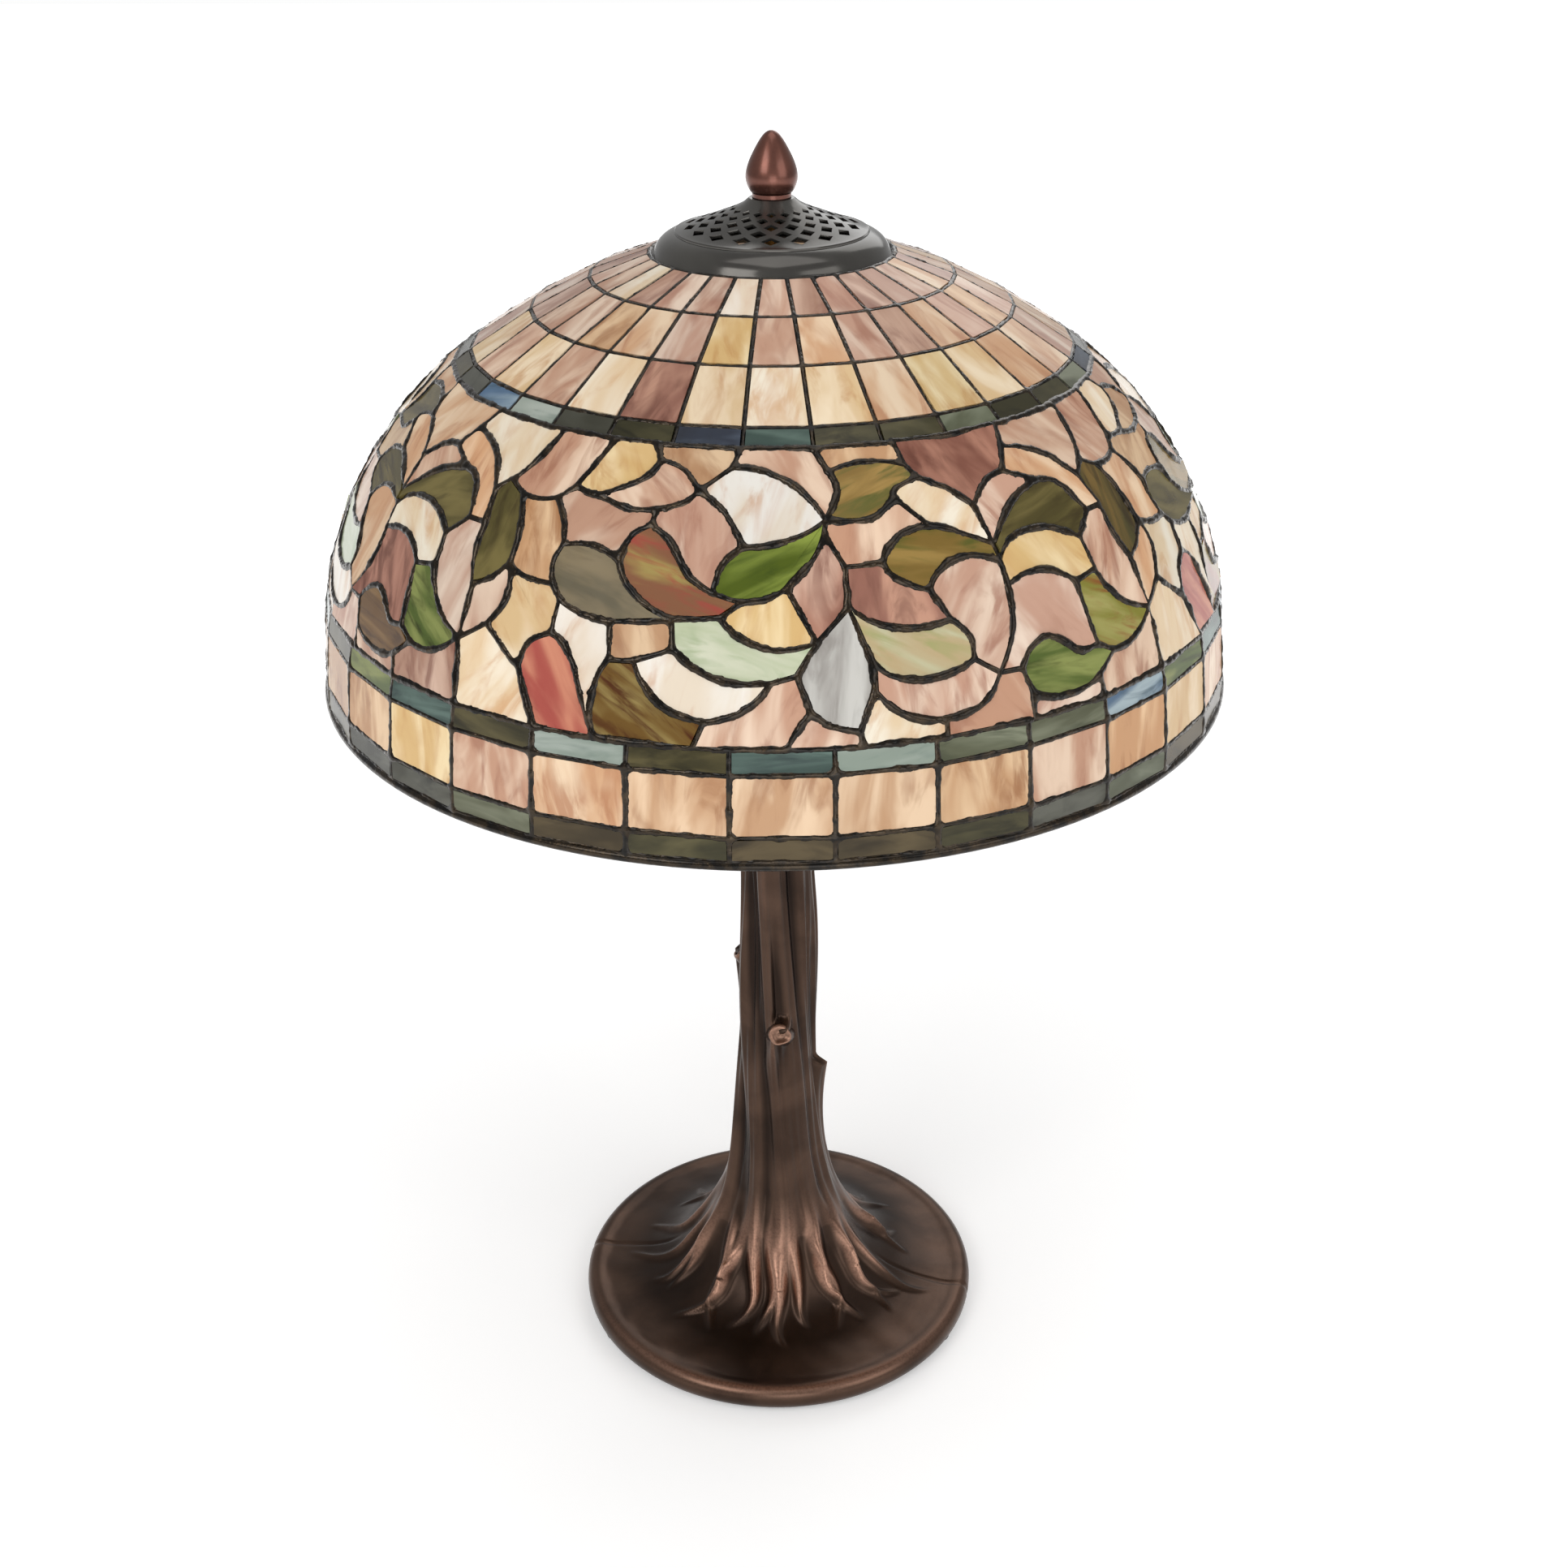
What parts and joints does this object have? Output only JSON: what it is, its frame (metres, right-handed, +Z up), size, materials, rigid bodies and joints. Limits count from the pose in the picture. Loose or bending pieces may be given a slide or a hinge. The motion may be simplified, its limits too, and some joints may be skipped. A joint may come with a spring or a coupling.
{
  "type": "stained glass table lamp",
  "caption": "Table lamp with a soldered stained glass dome shade of turning leaves on a cast tree-trunk stand with spreading roots.",
  "frame": {"origin": "on the floor at the centre of the round base, under the shade's axis", "axes": "+Z up along the shade's axis, -Y towards the front, X along the two lamp holders"},
  "size_m": [0.4057, 0.4058, 0.5986],
  "materials": {
    "bronze": "dark bronze patina with copper on the high edges",
    "plate": "flat dark paint",
    "steel": "plain",
    "rubber": "matte",
    "black_plastic": "black",
    "brass": "aged",
    "dark_metal": "gunmetal patina",
    "copper": "reddish copper brown",
    "solder": "dark brown-black patina, glossy",
    "bulb_glass": "frosted",
    "cream_glass": "streaky opalescent",
    "slate_glass": "streaky opalescent",
    "olive_glass": "streaky opalescent",
    "green_glass": "streaky opalescent",
    "amber_glass": "streaky opalescent",
    "pale_glass": "wispy, half clear",
    "rose_glass": "streaky opalescent"
  },
  "bodies": {
    "stand": {"base_casting": "bronze", "base_plate": "plate", "plate_screws": "steel", "foot_pads": "rubber", "cord_bushing": "black_plastic", "threaded_tube": "brass", "base_washer": "steel", "base_nut": "steel", "trunk_cup": "bronze", "cluster_body": "brass", "cluster_nut": "brass", "socket_cap_left": "brass", "socket_shell_left": "brass", "socket_core_left": "black_plastic", "screw_shell_left": "brass", "chain_guide_left": "brass", "socket_cap_right": "brass", "socket_shell_right": "brass", "socket_core_right": "black_plastic", "screw_shell_right": "brass", "chain_guide_right": "brass", "shade_rod": "brass", "support_nut": "brass", "shade_support": "brass"},
    "shade": {"shade_collar": "dark_metal", "pierced_cap": "dark_metal", "glass_row_top": "cream_glass", "glass_row_middle": "cream_glass", "glass_row_lower": "cream_glass", "glass_upper_border": "slate_glass", "glass_background_high": "cream_glass", "glass_background_low": "cream_glass", "glass_olive_leaves": "olive_glass", "glass_green_leaves": "green_glass", "glass_amber_leaves": "amber_glass", "glass_pale_leaves": "pale_glass", "glass_rose_petals": "rose_glass", "glass_lower_border": "green_glass", "glass_skirt_row": "cream_glass", "glass_bottom_border": "slate_glass", "seams_upper": "solder", "seams_leaf_band": "solder", "seams_lower": "solder", "rim_wire": "solder"},
    "washer_body": {"finial_washer": "copper"},
    "finial_body": {"finial": "copper"},
    "left_bulb": {"bulb_base_left": "steel", "bulb_glass_left": "bulb_glass"},
    "right_bulb": {"bulb_base_right": "steel", "bulb_glass_right": "bulb_glass"},
    "left_chain": {"pull_chain_left": "brass"},
    "right_chain": {"pull_chain_right": "brass"}
  },
  "joints": [
    {"name": "shade_turn", "type": "hinge", "parent": "stand", "child": "shade", "pos_m": [0, 0, 0.549], "axis": [0, 0, 1], "continuous": true},
    {"name": "finial_rise", "type": "slide", "parent": "stand", "child": "washer_body", "axis": [0, 0, 1], "range_m": [0, 0.01]},
    {"name": "finial_turn", "type": "hinge", "parent": "washer_body", "child": "finial_body", "pos_m": [0, 0, 0.5736], "axis": [0, 0, 1], "range_deg": [0, 2521]},
    {"name": "left_bulb_turn", "type": "hinge", "parent": "stand", "child": "left_bulb", "pos_m": [-0.05074, 0, 0.39247], "axis": [-0.9397, 0, 0.342], "continuous": true},
    {"name": "left_chain_pull", "type": "slide", "parent": "stand", "child": "left_chain", "axis": [0, 0, -1], "range_m": [0, 0.012], "stiffness_N_per_m": 150, "springref_m": -0.002},
    {"name": "right_bulb_turn", "type": "hinge", "parent": "stand", "child": "right_bulb", "pos_m": [0.05074, 0, 0.39247], "axis": [0.9397, 0, 0.342], "continuous": true},
    {"name": "right_chain_pull", "type": "slide", "parent": "stand", "child": "right_chain", "axis": [0, 0, -1], "range_m": [0, 0.012], "stiffness_N_per_m": 150, "springref_m": -0.002}
  ],
  "couplings": [
    {"joint": "finial_turn", "follows": "finial_rise", "rad_per_m": 4398.2}
  ]
}
